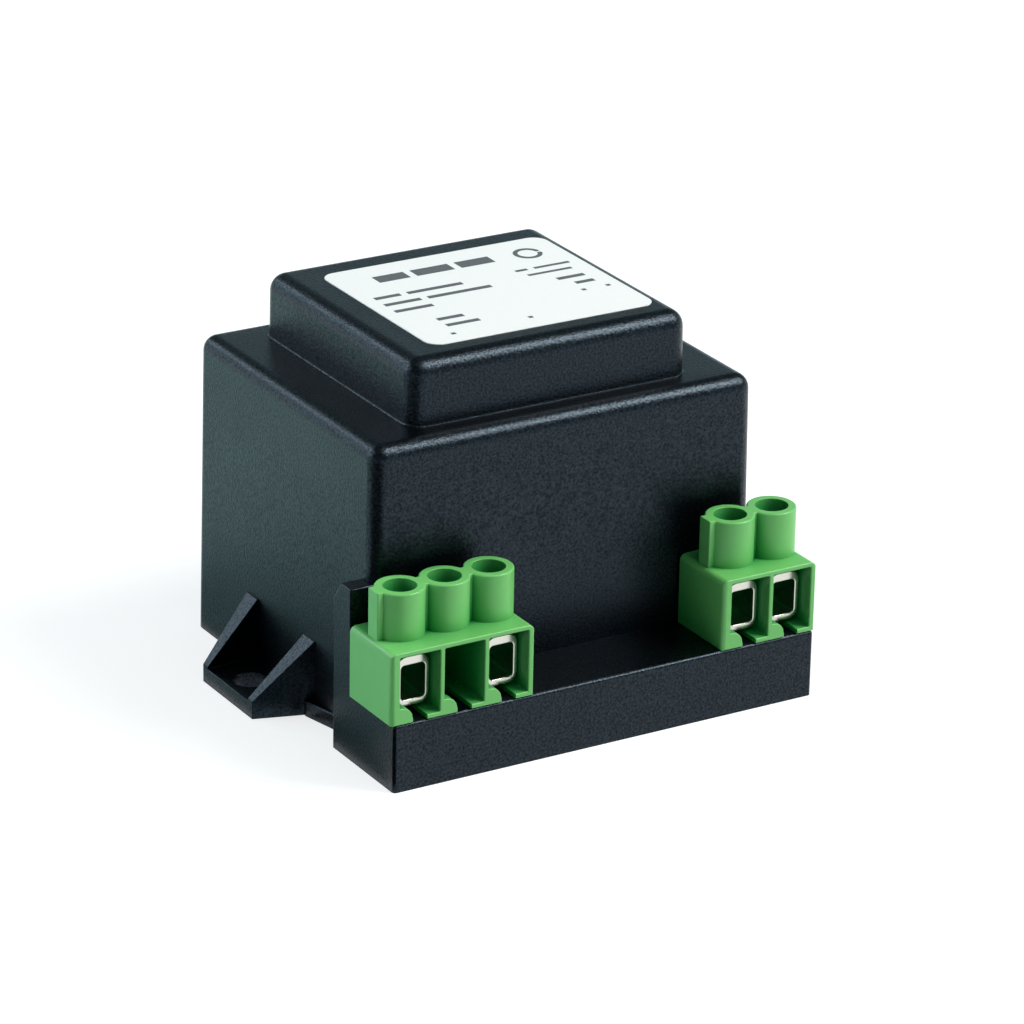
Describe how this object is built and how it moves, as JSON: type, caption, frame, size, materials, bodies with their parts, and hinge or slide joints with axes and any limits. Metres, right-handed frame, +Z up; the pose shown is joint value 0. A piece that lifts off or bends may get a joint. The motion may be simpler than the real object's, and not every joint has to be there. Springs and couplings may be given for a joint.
{
  "type": "potted transformer",
  "caption": "Potted mains transformer: black moulded case with a stepped dome, side fixing lugs and green screw-terminal blocks on a front shelf, with core, bobbin and windings cast inside.",
  "frame": {"origin": "centre of the bounding box's foot, on the mounting plane", "axes": "+X along the shelf towards the secondary block, +Y from the shelf to the back, +Z up"},
  "size_m": [0.0568, 0.046, 0.0394],
  "materials": {
    "case_plastic": "black moulding with a fine spark-eroded grain",
    "resin": "cast, slightly wavy surface",
    "core_steel": "stacked electrical sheet",
    "bobbin_plastic": "natural nylon",
    "enamelled_copper": "enamelled wire",
    "winding_tape": "polyester film",
    "terminal_plastic": "green nylon with a satin surface",
    "clamp_plate": "bright nickel plate",
    "screw_steel": "zinc plate",
    "tinned_brass": "tinned",
    "primary_sleeve": "sleeved lead",
    "secondary_sleeve": "sleeved lead",
    "label_film": "printed film"
  },
  "bodies": {
    "transformer": {"housing": "case_plastic", "potting_compound": "resin", "e_laminations": "core_steel", "i_laminations": "core_steel", "bobbin": "bobbin_plastic", "primary_winding": "enamelled_copper", "secondary_winding": "enamelled_copper", "primary_tape": "winding_tape", "secondary_tape": "winding_tape", "primary_terminal_housing": "terminal_plastic", "secondary_terminal_housing": "terminal_plastic", "primary_clamp_box_1": "clamp_plate", "primary_clamp_box_2": "clamp_plate", "secondary_clamp_box_1": "clamp_plate", "secondary_clamp_box_2": "clamp_plate", "primary_pin_1": "tinned_brass", "primary_pin_2": "tinned_brass", "secondary_pin_1": "tinned_brass", "secondary_pin_2": "tinned_brass", "primary_lead_1": "primary_sleeve", "primary_lead_2": "primary_sleeve", "secondary_lead_1": "secondary_sleeve", "secondary_lead_2": "secondary_sleeve", "rating_label": "label_film"},
    "primary_screw_1": {"primary_clamp_screw_1": "screw_steel"},
    "primary_screw_2": {"primary_clamp_screw_2": "screw_steel"},
    "secondary_screw_1": {"secondary_clamp_screw_1": "screw_steel"},
    "secondary_screw_2": {"secondary_clamp_screw_2": "screw_steel"}
  },
  "joints": [
    {"name": "primary_screw_1_travel", "type": "slide", "parent": "transformer", "child": "primary_screw_1", "axis": [0, 0, -1], "range_m": [0, 0.003]},
    {"name": "primary_screw_2_travel", "type": "slide", "parent": "transformer", "child": "primary_screw_2", "axis": [0, 0, -1], "range_m": [0, 0.003]},
    {"name": "secondary_screw_1_travel", "type": "slide", "parent": "transformer", "child": "secondary_screw_1", "axis": [0, 0, -1], "range_m": [0, 0.003]},
    {"name": "secondary_screw_2_travel", "type": "slide", "parent": "transformer", "child": "secondary_screw_2", "axis": [0, 0, -1], "range_m": [0, 0.003]}
  ]
}
